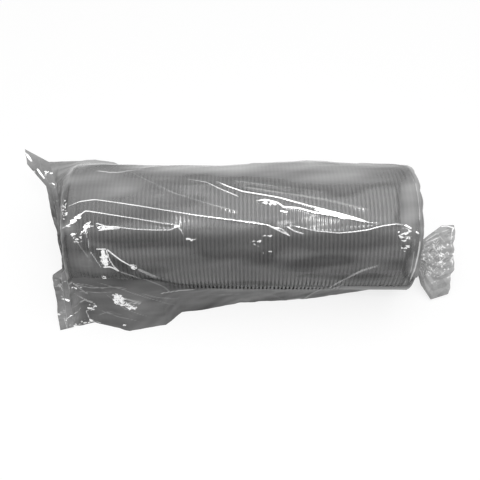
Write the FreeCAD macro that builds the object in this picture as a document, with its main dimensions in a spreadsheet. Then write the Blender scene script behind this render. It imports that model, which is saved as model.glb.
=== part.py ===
import FreeCAD, Part

import Sketcher
import math
import os

# A four inch pool vacuum hose, pushed together to its packed length and lying in its film bag.
# X runs along the hose, from the sealed end of the bag to its gathered mouth. Z is up and the
# bag lies on Z = 0. The origin is under the middle of everything.

Vector = FreeCAD.Vector
Rotation = FreeCAD.Rotation

# Driving sizes in millimetres, except where the note says a count, a share or degrees.
SIZES = [
    ("bore_radius", 50.8, "inside of an end binding, which slips over a four inch port"),
    ("binding_wall", 0.4, "hem tape folded over each end of the hose"),
    ("binding_width", 7.0, "how far the tape reaches along the hose"),
    ("layer_gap", 0.25, "clearance between one layer of the wall and the next"),
    ("inner_ply_wall", 0.3, "film on the inside of the wire"),
    ("wire_diameter", 1.0, "spring wire between the two plies"),
    ("wire_sides", 6, "count of flats round the wire"),
    ("outer_ply_wall", 0.3, "wall at the bottom of a valley"),
    ("rib_height", 0.7, "how far a rib stands out of its valley"),
    ("rib_count", 82, "count of ribs, one to each turn of the wire"),
    ("rib_pitch", 3.3, "rib to rib, packed"),
    ("rib_foot", 2.4, "width of a rib at its foot"),
    ("rib_crest", 1.0, "flat top of a rib"),
    ("film_wall", 0.4, "film of the bag, thickened to make a solid"),
    ("film_gap", 0.3, "clearance between the hose and the film"),
    ("film_span_count", 12, "count of spans between the sections of the film"),
    ("front_left_width_share", 1.31, "front fold's reach over the film's radius, at the sealed end"),
    ("front_middle_width_share", 0.783, "the same where the fold stops narrowing fast"),
    ("front_right_width_share", 0.44, "the same at the mouth"),
    ("front_hold_share", 0.15, "share of the length over which the front fold stays wide"),
    ("front_middle_share", 0.45, "share of the length where the middle width is met"),
    ("back_left_width_share", 1.529, "back fold's reach over the film's radius, at the sealed end"),
    ("back_right_width_share", 1.11, "the same at the mouth"),
    ("back_angle_left", 4.0, "degrees of the back fold over level at the sealed end"),
    ("back_angle_right", -42.0, "degrees of the back fold at the mouth"),
    ("back_fall_share", 0.4, "share of the length over which the back fold comes down"),
    ("cap_front", 7.0, "how far past the hose the films meet, at the seal's front corner"),
    ("cap_back", 33.0, "the same at its back corner"),
    ("cap_round", 4.5, "how far the film goes on past the hose before it turns in"),
    ("cap_flat_share", 0.012, "thickness left of the film's section where the films meet"),
    ("seal_back_width_share", 1.35, "seal's back corner behind the axis, over the film's radius"),
    ("seal_back_rise_share", 0.35, "the same over the axis"),
    ("seal_wall", 0.8, "two films welded together"),
    ("seal_front_reach", 10.0, "how far the seal stands out past that line, at its front corner"),
    ("seal_flap_reach", 13.0, "the same at the back of the front flap"),
    ("seal_notch_reach", 3.0, "the same in the notch behind that flap"),
    ("seal_middle_reach", 3.0, "the same in the middle"),
    ("seal_back_reach", 19.0, "the same at the back corner"),
    ("seal_flap_share", 0.3, "share of the seal's width where the front flap ends"),
    ("seal_notch_share", 0.34, "the same at the notch"),
    ("seal_middle_share", 0.55, "the same at the middle"),
    ("shoulder_depth", 8.0, "from the end of the hose to the neck"),
    ("neck_radius", 9.0, "the gathered film where the band holds it"),
    ("neck_front", 10.0, "how far the neck lies in front of the axis"),
    ("neck_drop", 25.0, "how far the neck lies under the axis"),
    ("neck_length", 7.0, "the gathered part that the band holds"),
    ("band_wall", 1.2, "clear band round the neck"),
    ("band_width", 5.0, "width of that band"),
    ("band_gap", 0.1, "clearance between the band and the gather"),
    ("tail_length", 34.0, "loose film past the neck"),
    ("tail_width", 64.0, "the long way of its fan"),
    ("tail_wall", 7.0, "thickness of the crumpled fan"),
    ("tail_front", 11.0, "how far the fan's middle lies in front of the axis"),
    ("tail_angle", 38.0, "degrees of the fan over level, rising to the back"),
]

# The cap's sections, from the seal in to the hose: the share to which the film is pressed flat,
# and the share of the cap's round by which it goes on.
CAP_STEPS = [(1.0, 0.0), (0.5, 0.55), (0.16, 1.0)]

# Sizes that follow from the driving ones. Those of the hose are measured from its own end,
# and those of the film from the end of its sleeve.
DERIVED = [
    ("binding_seat", "Sizes.bore_radius + Sizes.binding_wall"),
    ("inner_ply_in", "binding_seat + Sizes.layer_gap"),
    ("inner_ply_out", "inner_ply_in + Sizes.inner_ply_wall"),
    ("wire_centre", "inner_ply_out + Sizes.layer_gap + Sizes.wire_diameter / 2"),
    ("outer_ply_in", "wire_centre + Sizes.wire_diameter / 2 + Sizes.layer_gap"),
    ("valley_radius", "outer_ply_in + Sizes.outer_ply_wall"),
    ("crest_radius", "valley_radius + Sizes.rib_height"),
    ("binding_lap", "valley_radius + Sizes.layer_gap"),
    ("binding_out", "binding_lap + Sizes.binding_wall"),
    ("ribbed_length", "Sizes.rib_count * Sizes.rib_pitch"),
    ("ribs_start", "Sizes.binding_width + Sizes.layer_gap"),
    ("hose_length", "ribbed_length + 2 * ribs_start"),
    ("ply_start", "Sizes.binding_wall + Sizes.layer_gap"),
    ("ply_length", "hose_length - 2 * ply_start"),
    ("film_in", "max(crest_radius; binding_out) + Sizes.film_gap"),
    ("film_out", "film_in + Sizes.film_wall"),
    ("front_fold_left", "film_out * Sizes.front_left_width_share"),
    ("front_fold_middle", "film_out * Sizes.front_middle_width_share"),
    ("front_fold_right", "film_out * Sizes.front_right_width_share"),
    ("back_fold_left", "film_out * Sizes.back_left_width_share"),
    ("back_fold_right", "film_out * Sizes.back_right_width_share"),
    ("sleeve_length", "hose_length + 2 * Sizes.film_gap"),
    ("neck_start", "sleeve_length + Sizes.shoulder_depth"),
    ("band_start", "neck_start + (Sizes.neck_length - Sizes.band_width) / 2"),
    ("band_in", "Sizes.neck_radius + Sizes.band_gap"),
    ("band_out", "band_in + Sizes.band_wall"),
    ("neck_share", "Sizes.neck_radius / back_fold_right"),
    ("tail_start", "neck_start + Sizes.neck_length"),
    ("cap_lean", "Sizes.cap_back - Sizes.cap_front"),
    ("seal_front", "Sizes.cap_front + Sizes.seal_front_reach"),
    ("seal_flap", "Sizes.cap_front + cap_lean * Sizes.seal_flap_share + Sizes.seal_flap_reach"),
    ("seal_notch", "Sizes.cap_front + cap_lean * Sizes.seal_notch_share + Sizes.seal_notch_reach"),
    ("seal_middle", "Sizes.cap_front + cap_lean * Sizes.seal_middle_share + Sizes.seal_middle_reach"),
    ("seal_back", "Sizes.cap_back + Sizes.seal_back_reach"),
    ("overall_length", "seal_back + tail_start + Sizes.tail_length"),
    ("sleeve_x", "seal_back - overall_length / 2"),
    ("hose_x", "sleeve_x + Sizes.film_gap"),
    ("ply_x", "hose_x + ply_start"),
    ("wire_x", "hose_x + ribs_start"),
    ("free_end_x", "hose_x + hose_length"),
    ("axis_y", "(front_fold_left - back_fold_left) / 2"),
    ("axis_z", "film_out"),
    ("seal_rise", "axis_z + film_out * Sizes.seal_back_rise_share"),
    ("seal_run", "front_fold_left + film_out * Sizes.seal_back_width_share"),
    ("seal_width", "sqrt(seal_rise ^ 2 + seal_run ^ 2)"),
    ("seal_flap_end", "seal_width * Sizes.seal_flap_share"),
    ("seal_notch_end", "seal_width * Sizes.seal_notch_share"),
    ("seal_waist", "seal_width * Sizes.seal_middle_share"),
    ("seal_y", "axis_y - front_fold_left"),
    ("band_y", "axis_y - Sizes.neck_front"),
    ("band_z", "axis_z - Sizes.neck_drop"),
    ("band_x", "sleeve_x + band_start"),
]

doc = FreeCAD.newDocument("packed_hose")


def fillSheet(name, rows):
    sheet = doc.addObject("Spreadsheet::Sheet", name)
    for line, (alias, value, note) in enumerate(rows, start=1):
        sheet.setAlias(f"A{line}", alias)
        sheet.set(f"B{line}", note)
    for line, (alias, value, note) in enumerate(rows, start=1):
        sheet.set(f"A{line}", str(value))
    doc.recompute()
    return sheet


sizes = fillSheet("Sizes", SIZES)
derived = fillSheet("Derived", [(alias, "=" + formula, "") for alias, formula in DERIVED])
followers = {alias for alias, formula in DERIVED}


# The cell that holds a size, and the number in it.
def cell(alias):
    return ("Derived." if alias in followers else "Sizes.") + alias


def size(alias):
    return float(derived.get(alias) if alias in followers else sizes.get(alias))


def count(alias):
    return round(size(alias))


# Ties an object's place to cells. A place that isn't named stays at nought.
def place(item, x=None, y="axis_y", z="axis_z"):
    for axis, alias in (("x", x), ("y", y), ("z", z)):
        if alias:
            item.setExpression(f"Placement.Base.{axis}", cell(alias))


def newBody(label):
    body = doc.addObject("PartDesign::Body", label)
    body.Label = label
    return body


def newSketch(body, name, plane):
    sketch = body.newObject("Sketcher::SketchObject", name)
    origin = [item for item in body.Origin.OriginFeatures if item.Role == plane][0]
    sketch.AttachmentSupport = [(origin, "")]
    sketch.MapMode = "FlatFace"
    return sketch


# Draws a closed outline through corners. Each corner is two aliases, and "" keeps it on an axis.
def drawOutline(sketch, corners):
    where = [Vector(size(x) if x else 0, size(y) if y else 0, 0) for x, y in corners]
    last = len(where) - 1
    for n, start in enumerate(where):
        sketch.addGeometry(Part.LineSegment(start, where[0 if n == last else n + 1]))
    for n in range(len(where)):
        sketch.addConstraint(Sketcher.Constraint("Coincident", n, 2, 0 if n == last else n + 1, 1))
    for n, corner in enumerate(corners):
        for kind, alias, axis in (("DistanceX", corner[0], -2), ("DistanceY", corner[1], -1)):
            if not alias:
                sketch.addConstraint(Sketcher.Constraint("PointOnObject", n, 1, axis))
                continue
            rule = sketch.addConstraint(Sketcher.Constraint(kind, -1, 1, n, 1, size(alias)))
            sketch.setExpression(f"Constraints[{rule}]", cell(alias))


# Draws two circles round the origin.
def drawRing(sketch, inside, outside):
    for n, alias in enumerate((inside, outside)):
        sketch.addGeometry(Part.Circle(Vector(0, 0, 0), Vector(0, 0, 1), size(alias)))
        sketch.addConstraint(Sketcher.Constraint("Coincident", n, 3, -1, 1))
        rule = sketch.addConstraint(Sketcher.Constraint("Radius", n, size(alias)))
        sketch.setExpression(f"Constraints[{rule}]", cell(alias))


def newTube(label, inside, outside, length):
    body = newBody(label)
    sketch = newSketch(body, label + "_ring", "YZ_Plane")
    drawRing(sketch, inside, outside)
    pad = body.newObject("PartDesign::Pad", label + "_pad")
    pad.Profile = sketch
    pad.setExpression("Length", cell(length))
    return body


def newBinding(label):
    body = newBody(label)
    sketch = newSketch(body, label + "_fold", "XZ_Plane")
    drawOutline(sketch, [
        ("", "bore_radius"), ("binding_width", "bore_radius"),
        ("binding_width", "binding_seat"), ("binding_wall", "binding_seat"),
        ("binding_wall", "binding_lap"), ("binding_width", "binding_lap"),
        ("binding_width", "binding_out"), ("", "binding_out"),
    ])
    turn = body.newObject("PartDesign::Revolution", label + "_turn")
    turn.Profile = sketch
    turn.ReferenceAxis = (sketch, ["H_Axis"])
    turn.Angle = 360
    return body


# A piece whose shape is worked out below, put in its place once it has it.
def newPiece(label, shape, x):
    piece = doc.addObject("Part::Feature", label)
    piece.Label = label
    piece.Shape = shape
    place(piece, x)
    return piece


def circleAt(x, radius):
    return Part.Wire(Part.makeCircle(radius, Vector(x, 0, 0), Vector(1, 0, 0)))


# Every rib is four circles: foot, crest, crest, foot. The ends stay plain under the bindings.
def ribbedPly():
    slope = (size("rib_foot") - size("rib_crest")) / 2
    valley, crest = size("valley_radius"), size("crest_radius")
    rings = [circleAt(size("ply_start"), valley)]
    for n in range(count("rib_count")):
        middle = size("ribs_start") + (n + 0.5) * size("rib_pitch")
        foot, top = size("rib_foot") / 2, size("rib_foot") / 2 - slope
        rings.append(circleAt(middle - foot, valley))
        rings.append(circleAt(middle - top, crest))
        rings.append(circleAt(middle + top, crest))
        rings.append(circleAt(middle + foot, valley))
    rings.append(circleAt(size("ply_start") + size("ply_length"), valley))
    bore = Part.makeCylinder(size("outer_ply_in"), size("hose_length"), Vector(), Vector(1, 0, 0))
    return Part.makeLoft(rings, True, True).cut(bore)


# Two arcs that leave the first point and reach the last one along the tangents given there.
def biarc(first, leaving, last, reaching):
    chord = last - first
    both = leaving + reaching
    square = 2 * (1 - leaving.dot(reaching))
    linear = 2 * chord.dot(both)
    reach = (math.sqrt(linear ** 2 + 4 * square * chord.dot(chord)) - linear) / (2 * square)
    corners = (first + leaving * reach, last - reaching * reach)
    joint = (corners[0] + corners[1]) / 2
    arcs = []
    for start, corner, end in ((first, corners[0], joint), (joint, corners[1], last)):
        middle = (start + end) / 2
        half = (end - start).Length / 2
        rise = half * (reach - half) / (corner - middle).Length
        top = middle + (corner - middle).normalize() * rise
        arcs.append(Part.Arc(start, top, end).toShape())
    return arcs


# The wire: one turn to a rib, each turn two half turns, with flats round its section.
def wireHelix():
    radius, climb = size("wire_centre"), size("rib_pitch") / (2 * math.pi)

    def point(angle):
        return Vector(climb * angle, radius * math.cos(angle), radius * math.sin(angle))

    def heading(angle):
        return Vector(climb, -radius * math.sin(angle), radius * math.cos(angle)).normalize()

    arcs = []
    for n in range(2 * count("rib_count")):
        start, end = n * math.pi, (n + 1) * math.pi
        arcs += biarc(point(start), heading(start), point(end), heading(end))
    outward = Vector(0, 1, 0)
    aside = heading(0).cross(outward)
    corners = []
    for n in range(count("wire_sides") + 1):
        angle = 2 * math.pi * n / count("wire_sides")
        spoke = outward * math.cos(angle) + aside * math.sin(angle)
        corners.append(point(0) + spoke * (size("wire_diameter") / 2))
    pipe = Part.BRepOffsetAPI.MakePipeShell(Part.Wire(arcs))
    pipe.add(Part.makePolygon(corners))
    pipe.build()
    pipe.makeSolid()
    steps = 24
    points = [point(2 * math.pi * n / steps) for n in range(steps * count("rib_count"))]
    nearest = min(
        (points[n] - other).Length
        for n in range(len(points) - steps // 2)
        for other in points[n + steps // 2:n + 2 * steps]
    )
    print("wire: least gap to itself", round(nearest - size("wire_diameter"), 3), "mm")
    return pipe.shape()


def blendOf(share, low, high):
    return low + (high - low) * min(max(share, 0), 1)


# Where the folds of the film stand at a share of the sleeve's length, from the sealed end:
# the front fold's reach along the floor, and the back fold's reach and angle from the axis.
def foldsAt(share):
    hold, middle = size("front_hold_share"), size("front_middle_share")
    if share < middle:
        part = (share - hold) / (middle - hold)
        front = blendOf(part, size("front_fold_left"), size("front_fold_middle"))
    else:
        part = (share - middle) / (1 - middle)
        front = blendOf(part, size("front_fold_middle"), size("front_fold_right"))
    back = blendOf(share, size("back_fold_left"), size("back_fold_right"))
    fall = share / size("back_fall_share")
    angle = blendOf(fall, size("back_angle_left"), size("back_angle_right"))
    return front, back, math.radians(angle)


# The film's section at a share of the length: tight over the hose, flat on the floor, and drawn
# out to a fold in front and behind. It is scaled about the axis, then moved to its middle.
def filmSection(x, share, scale=1.0, middle=(0.0, 0.0)):
    radius = size("film_out")
    front, back, angle = foldsAt(share)
    spread = math.acos(radius / back)
    front_touch = 1.5 * math.pi - 2 * math.atan(front / radius)

    def at(y, z):
        return Vector(x, middle[0] + y * scale, middle[1] + z * scale)

    def onHose(turn):
        return at(radius * math.cos(turn), radius * math.sin(turn))

    def arcOver(start, end):
        return Part.Arc(onHose(start), onHose((start + end) / 2), onHose(end)).toShape()

    floor, top = -math.pi / 2, math.pi / 2
    low, high = angle - spread, angle + spread
    front_tip = at(-front, -radius)
    back_tip = at(back * math.cos(angle), back * math.sin(angle))
    return Part.Wire([
        Part.makeLine(front_tip, onHose(floor)),
        arcOver(floor, low),
        Part.makeLine(onHose(low), back_tip),
        Part.makeLine(back_tip, onHose(high)),
        arcOver(high, top),
        arcOver(top, front_touch),
        Part.makeLine(onHose(front_touch), front_tip),
    ])


def sleeveCore(scale=1.0):
    spans = count("film_span_count")
    length = size("sleeve_length")
    return Part.makeLoft(
        [filmSection(length * n / spans, n / spans, scale) for n in range(spans + 1)], True, True)


def filmSleeve():
    return sleeveCore().cut(sleeveCore(size("film_in") / size("film_out")))


# The seal's own axes: Y runs along the line where the films meet, from its front corner.
def sealAxes():
    lean = math.degrees(math.atan2(size("seal_rise"), size("seal_run")))
    corner = Vector(0, -size("front_fold_left"), -size("film_out"))
    return FreeCAD.Placement(corner, Rotation(Vector(1, 0, 0), lean)).toMatrix()


# A section of the film drawn in at the sealed end: the sleeve's own, pressed by a share towards
# the line of the seal and leaning out with it. It goes on by a share of the cap's round.
def capSection(drawn, beyond, scale, short):
    axes = sealAxes()
    front, back, angle = foldsAt(0)
    back_tip = axes.inverse().multVec(Vector(0, back * math.cos(angle), back * math.sin(angle)))
    stretch = blendOf(drawn, 1, size("seal_width") / back_tip.y)
    press = blendOf(drawn, 1, size("cap_flat_share"))
    slope = drawn * stretch * size("cap_lean") / size("seal_width")
    depth = drawn * size("cap_front") + beyond * size("cap_round") - short
    pressed = FreeCAD.Matrix(
        1, -slope, 0, -depth,
        0, stretch, 0, 0,
        0, 0, press, 0,
        0, 0, 0, 1)
    return filmSection(0, 0, scale).transformGeometry(axes * pressed * axes.inverse())


def capCore(scale=1.0, short=0.0):
    drawn = [capSection(share, beyond, scale, short) for share, beyond in CAP_STEPS]
    return Part.makeLoft(drawn + [filmSection(0, 0, scale)], True, True)


def filmCap():
    return capCore().cut(capCore(size("film_in") / size("film_out"), size("film_wall")))


# The film gathered from the hose's rim to its neck at the mouth.
def shoulderCore():
    neck = (-size("neck_front"), -size("neck_drop"))
    gathered = filmSection(size("neck_start"), 1, size("neck_share"), neck)
    return Part.makeLoft([filmSection(size("sleeve_length"), 1), gathered], True, True)


# The skin of that end is what is left when its own core is moved back by a wall.
def filmShoulder():
    core = shoulderCore()
    return core.cut(core.translated(Vector(-size("film_wall"), 0, 0)))


# The gather under the band, then the loose film past it, flattened to a leaning fan.
def filmTail():
    radius = size("neck_radius")
    half_width, half_wall = size("tail_width") / 2, size("tail_wall") / 2
    lean = math.radians(size("tail_angle"))
    start, end = size("tail_start"), size("tail_start") + size("tail_length")
    neck = Vector(0, -size("neck_front"), -size("neck_drop"))
    height = half_width * math.sin(lean) + half_wall * math.cos(lean) - size("film_out")
    fan = Vector(0, -size("tail_front"), height)
    along = Vector(0, math.cos(lean), math.sin(lean))
    across = Vector(0, -math.sin(lean), math.cos(lean))

    def ringOf(x, middle, wide, thick):
        def at(quarter):
            turn = quarter * math.pi / 2
            spoke = along * (wide * math.cos(turn)) + across * (thick * math.sin(turn))
            return Vector(x, 0, 0) + middle + spoke

        return Part.Wire([Part.Arc(at(n), at(n + 0.5), at(n + 1)).toShape() for n in range(4)])

    rings = [
        ringOf(size("neck_start"), neck, radius, radius),
        ringOf(start, neck, radius, radius),
        ringOf(end, fan, half_width, half_wall),
    ]
    return Part.makeLoft(rings, True, True)


# The weld across the flat end of the bag, from the line where the films meet out to its cut edge.
# A flap stands off the hose at each corner. It is drawn flat, then leaned up to the back.
def newSeal(label):
    body = newBody(label)
    sketch = newSketch(body, label + "_outline", "XY_Plane")
    drawOutline(sketch, [
        ("", "cap_front"), ("", "seal_front"), ("seal_flap_end", "seal_flap"),
        ("seal_notch_end", "seal_notch"), ("seal_waist", "seal_middle"),
        ("seal_width", "seal_back"), ("seal_width", "cap_back"),
    ])
    pad = body.newObject("PartDesign::Pad", label + "_weld")
    pad.Profile = sketch
    pad.setExpression("Length", cell("seal_wall"))
    lean = math.degrees(math.atan2(size("seal_rise"), size("seal_run")))
    across = Rotation(Vector(0, 0, 1), 90)
    body.Placement = FreeCAD.Placement(Vector(), Rotation(Vector(1, 0, 0), lean) * across)
    place(body, "sleeve_x", "seal_y", None)
    return body


inner_ply = newTube("inner_ply", "inner_ply_in", "inner_ply_out", "ply_length")
place(inner_ply, "ply_x")
wire_helix = newPiece("wire_helix", wireHelix(), "wire_x")
outer_ply = newPiece("outer_ply", ribbedPly(), "hose_x")

fixed_end_binding = newBinding("fixed_end_binding")
place(fixed_end_binding, "hose_x")
free_end_binding = newBinding("free_end_binding")
free_end_binding.Placement.Rotation = Rotation(Vector(0, 0, 1), 180)
place(free_end_binding, "free_end_x")

bag_sleeve = newPiece("bag_sleeve", filmSleeve(), "sleeve_x")
bag_bottom = newPiece("bag_bottom", filmCap(), "sleeve_x")
bag_shoulder = newPiece("bag_shoulder", filmShoulder(), "sleeve_x")
bag_tail = newPiece("bag_tail", filmTail(), "sleeve_x")
bag_seal = newSeal("bag_seal")
neck_band = newTube("neck_band", "band_in", "band_out", "band_width")
place(neck_band, "band_x", "band_y", "band_z")

doc.recompute()

pieces = [
    inner_ply, wire_helix, outer_ply, fixed_end_binding, free_end_binding,
    bag_sleeve, bag_bottom, bag_seal, bag_shoulder, bag_tail, neck_band,
]
for item in doc.Objects:
    if "Invalid" in item.State or "Error" in item.State:
        raise RuntimeError(f"{item.Label} did not build: {item.State}")
os.makedirs("parts", exist_ok=True)
for piece in pieces:
    shape = piece.Shape
    if shape.isNull() or not shape.isValid() or shape.Volume <= 0:
        raise RuntimeError(f"{piece.Label} has no sound shape")
    shape.exportStep(f"parts/{piece.Label}.step")
    print(piece.Label, len(shape.Solids), "solid,", round(shape.Volume), "mm3")
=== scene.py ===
import math
import bpy
import numpy as np
from mathutils import Matrix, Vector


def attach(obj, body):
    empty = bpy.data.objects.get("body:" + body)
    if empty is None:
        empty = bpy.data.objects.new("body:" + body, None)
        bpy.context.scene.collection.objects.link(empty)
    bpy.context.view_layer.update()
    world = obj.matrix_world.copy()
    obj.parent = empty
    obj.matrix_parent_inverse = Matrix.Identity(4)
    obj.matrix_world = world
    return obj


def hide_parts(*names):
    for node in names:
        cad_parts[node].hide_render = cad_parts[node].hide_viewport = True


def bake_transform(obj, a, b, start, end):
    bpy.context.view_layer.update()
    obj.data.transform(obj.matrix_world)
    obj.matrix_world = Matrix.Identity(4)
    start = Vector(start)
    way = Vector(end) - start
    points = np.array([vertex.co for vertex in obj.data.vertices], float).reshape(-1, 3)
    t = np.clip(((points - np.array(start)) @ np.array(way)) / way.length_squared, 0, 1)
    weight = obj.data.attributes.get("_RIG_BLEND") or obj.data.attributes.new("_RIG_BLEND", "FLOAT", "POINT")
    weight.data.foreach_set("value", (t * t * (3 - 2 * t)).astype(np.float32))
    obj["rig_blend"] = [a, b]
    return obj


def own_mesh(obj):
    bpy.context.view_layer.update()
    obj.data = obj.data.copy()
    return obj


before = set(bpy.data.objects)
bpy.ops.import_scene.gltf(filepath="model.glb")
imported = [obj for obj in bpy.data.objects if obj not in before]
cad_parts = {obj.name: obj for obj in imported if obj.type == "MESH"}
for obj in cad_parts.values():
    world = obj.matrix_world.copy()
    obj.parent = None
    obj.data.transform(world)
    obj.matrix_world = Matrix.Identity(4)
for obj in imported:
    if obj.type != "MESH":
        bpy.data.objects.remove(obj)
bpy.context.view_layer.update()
scene = bpy.context.scene
print("frame loaded:", len(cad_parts), "nodes")


# A dictionary of values, each of which is also read by its name after a dot.
class Values(dict):
    __getattr__ = dict.__getitem__


# Shapes are worked out in millimetres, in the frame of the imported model: X along the hose, Z up.
# The hose's axis is at axisPoint, and the camera stands where the photograph was taken.
metres = 0.001
axisPoint = np.array([0.0, -6.017, 54.95])
photo = Values(
    imageSize=480.0, sensor=36.0, lens=47.26, distance=560.0, elevation=50.0,
    aimUnderAxis=10.7, aimLeft=1.6, clipStart=0.01, clipEnd=20.0,
)
tilt = math.radians(photo.elevation)
# The view's right is along the hose.
viewRight = np.array([1.0, 0.0, 0.0])
viewUp = np.array([0.0, math.sin(tilt), math.cos(tilt)])
viewBack = np.array([0.0, -math.cos(tilt), math.sin(tilt)])
aimPoint = axisPoint - viewUp * photo.aimUnderAxis - viewRight * photo.aimLeft
eyePoint = aimPoint + viewBack * photo.distance
pixelReach = photo.imageSize / photo.sensor * photo.lens
imageMiddle = photo.imageSize / 2


def rayOf(pixel):
    return (viewRight * (pixel[0] - imageMiddle) + viewUp * (imageMiddle - pixel[1])) / pixelReach - viewBack


# The point of a plane that shows at a pixel of the photograph.
def castOnPlane(pixel, origin, normal):
    ray = rayOf(pixel)
    return eyePoint + ray * ((origin - eyePoint) @ normal) / (ray @ normal)


def castPixel(x, y, height):
    return castOnPlane((x, y), np.array([0.0, 0.0, height]), np.array([0.0, 0.0, 1.0]))


def pixelOf(points):
    away = points - eyePoint
    depth = -(away @ viewBack)
    across = imageMiddle + pixelReach * (away @ viewRight) / depth
    down = imageMiddle - pixelReach * (away @ viewUp) / depth
    return np.stack([across, down], -1)


def blendOf(low, high, share):
    return low + (high - low) * share


def easeOf(share):
    share = np.clip(share, 0.0, 1.0)
    return share * share * (3 - 2 * share)


# One between two values, and easing to nothing at them over the spans given.
def windowOf(value, low, high, lowSpan, highSpan):
    return easeOf((value - low) / lowSpan) * easeOf((high - value) / highSpan)


def tableAt(where, rows):
    return np.interp(where, [row[0] for row in rows], [row[1] for row in rows])


def pairsOf(numbers):
    return np.array(numbers, float).reshape(-1, 2)


# Points on a route, by how far along it they are and where its own points are.
def routeAt(where, knots, points):
    points = np.asarray(points, float)
    return np.stack([np.interp(where, knots, points[:, n]) for n in range(points.shape[1])], -1)


# Soft seeded noise from -1 to 1 over two coordinates.
def rippleOf(u, v, seed):
    side = 96
    grid = np.random.default_rng(seed).uniform(-1, 1, (side, side))
    iu, iv = np.floor(u).astype(int), np.floor(v).astype(int)
    fu, fv = easeOf(u - iu), easeOf(v - iv)

    def at(a, b):
        return grid[a % side, b % side]

    low = blendOf(at(iu, iv), at(iu + 1, iv), fu)
    high = blendOf(at(iu, iv + 1), at(iu + 1, iv + 1), fu)
    return blendOf(low, high, fv)


def lengthOf(vectors):
    return np.linalg.norm(vectors, axis=-1)


def unitOf(vectors):
    return vectors / np.maximum(lengthOf(vectors), 1e-9)[..., None]


# The turn round the hose's axis at which points lie: 0 behind, 90 degrees on top.
def turnOf(points):
    return np.arctan2(points[..., 2] - axisPoint[2], points[..., 1] - axisPoint[1])


# The quads of a grid of points. A loop joins the last column, or row, to the first.
def gridQuads(rows, columns, loopRows=False, loopColumns=False):
    index = np.arange(rows * columns).reshape(rows, columns)
    r = np.arange(rows if loopRows else rows - 1)
    c = np.arange(columns if loopColumns else columns - 1)
    rNext, cNext = (r + 1) % rows, (c + 1) % columns
    corners = [index[r][:, c], index[rNext][:, c], index[rNext][:, cNext], index[r][:, cNext]]
    return np.stack(corners, -1).reshape(-1, 4)


def newPiece(name, points, quads, values=None):
    points = points.reshape(-1, 3)
    mesh = bpy.data.meshes.new(name)
    mesh.vertices.add(len(points))
    mesh.vertices.foreach_set("co", (points * metres).astype(np.float32).ravel())
    mesh.loops.add(quads.size)
    mesh.loops.foreach_set("vertex_index", quads.astype(np.int32).ravel())
    mesh.polygons.add(len(quads))
    mesh.polygons.foreach_set("loop_start", np.arange(0, quads.size, 4, dtype=np.int32))
    mesh.polygons.foreach_set("use_smooth", np.ones(len(quads), dtype=bool))
    for label, numbers in (values or {}).items():
        layer = mesh.attributes.new(label, "FLOAT", "POINT")
        layer.data.foreach_set("value", numbers.astype(np.float32).ravel())
    mesh.update(calc_edges=True)
    mesh.validate()
    piece = bpy.data.objects.new(name, mesh)
    scene.collection.objects.link(piece)
    print("built", name, len(quads), "quads")
    return piece


# Puts an object in the scene: where, and to where its own X, Y and Z point.
def placeObject(holder, side, top, back, where):
    turned = np.eye(4)
    turned[:3] = np.stack([side, top, back, where], 1)
    holder.matrix_world = Matrix(turned.tolist())
    scene.collection.objects.link(holder)


camera = bpy.data.objects.new("photoCamera", bpy.data.cameras.new("photoCamera"))
camera.data.lens, camera.data.sensor_width = photo.lens, photo.sensor
camera.data.clip_start, camera.data.clip_end = photo.clipStart, photo.clipEnd
placeObject(camera, viewRight, viewUp, viewBack, eyePoint * metres)
scene.camera = camera
scene.view_settings.view_transform = "Standard"
print("camera set")


def grey(level):
    return (level, level, level, 1.0)


# A value in a finish, so that shader sums can be written as sums.
class Shade:
    def __init__(self, finish, socket):
        self.finish = finish
        self.socket = socket

    def sum(self, operation, first, second):
        return self.finish.put("Math", {0: first, 1: second}, operation=operation)

    def __add__(self, other):
        return self.sum("ADD", self, other)

    def __radd__(self, other):
        return self.sum("ADD", other, self)

    def __sub__(self, other):
        return self.sum("SUBTRACT", self, other)

    def __rsub__(self, other):
        return self.sum("SUBTRACT", other, self)

    def __mul__(self, other):
        return self.sum("MULTIPLY", self, other)

    def __rmul__(self, other):
        return self.sum("MULTIPLY", other, self)

    def __truediv__(self, other):
        return self.sum("DIVIDE", self, other)

    def __pow__(self, other):
        return self.sum("POWER", self, other)

    def most(self, other):
        return self.sum("MAXIMUM", self, other)


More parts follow.
